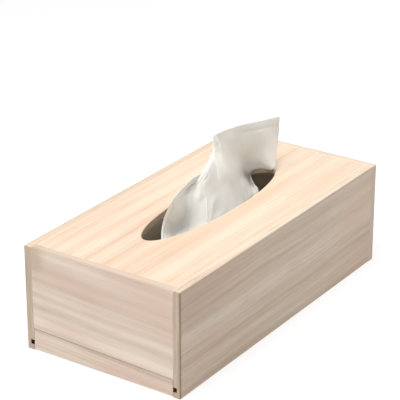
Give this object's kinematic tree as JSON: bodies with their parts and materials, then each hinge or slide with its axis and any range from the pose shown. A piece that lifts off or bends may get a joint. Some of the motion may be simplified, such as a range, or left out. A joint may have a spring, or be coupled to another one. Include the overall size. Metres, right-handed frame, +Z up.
{
  "type": "wooden tissue box",
  "caption": "Plain wooden tissue box with an oval slot in its top, a bottom that slides out at one end, and a tissue pulled up through the slot.",
  "frame": {"origin": "centre of the box's base, on the surface it stands on", "axes": "+X along the box, with the end where the bottom slides out at -X; +Y across the box, with the front long side at -Y; +Z up"},
  "size_m": [0.266, 0.132, 0.1323],
  "materials": {
    "pale_wood": "bare sanded paulownia",
    "tissue": "soft white facial tissue"
  },
  "bodies": {
    "case": {"front_side_panel": "pale_wood", "back_side_panel": "pale_wood", "closed_end_panel": "pale_wood", "open_end_panel": "pale_wood", "top_panel": "pale_wood", "tissue_stack": "tissue", "pulled_tissue": "tissue"},
    "bottom": {"sliding_bottom": "pale_wood", "bottom_pull_strip": "pale_wood"}
  },
  "joints": [
    {"name": "bottom_slide", "type": "slide", "parent": "case", "child": "bottom", "axis": [-1, 0, 0], "range_m": [0, 0.27]}
  ]
}
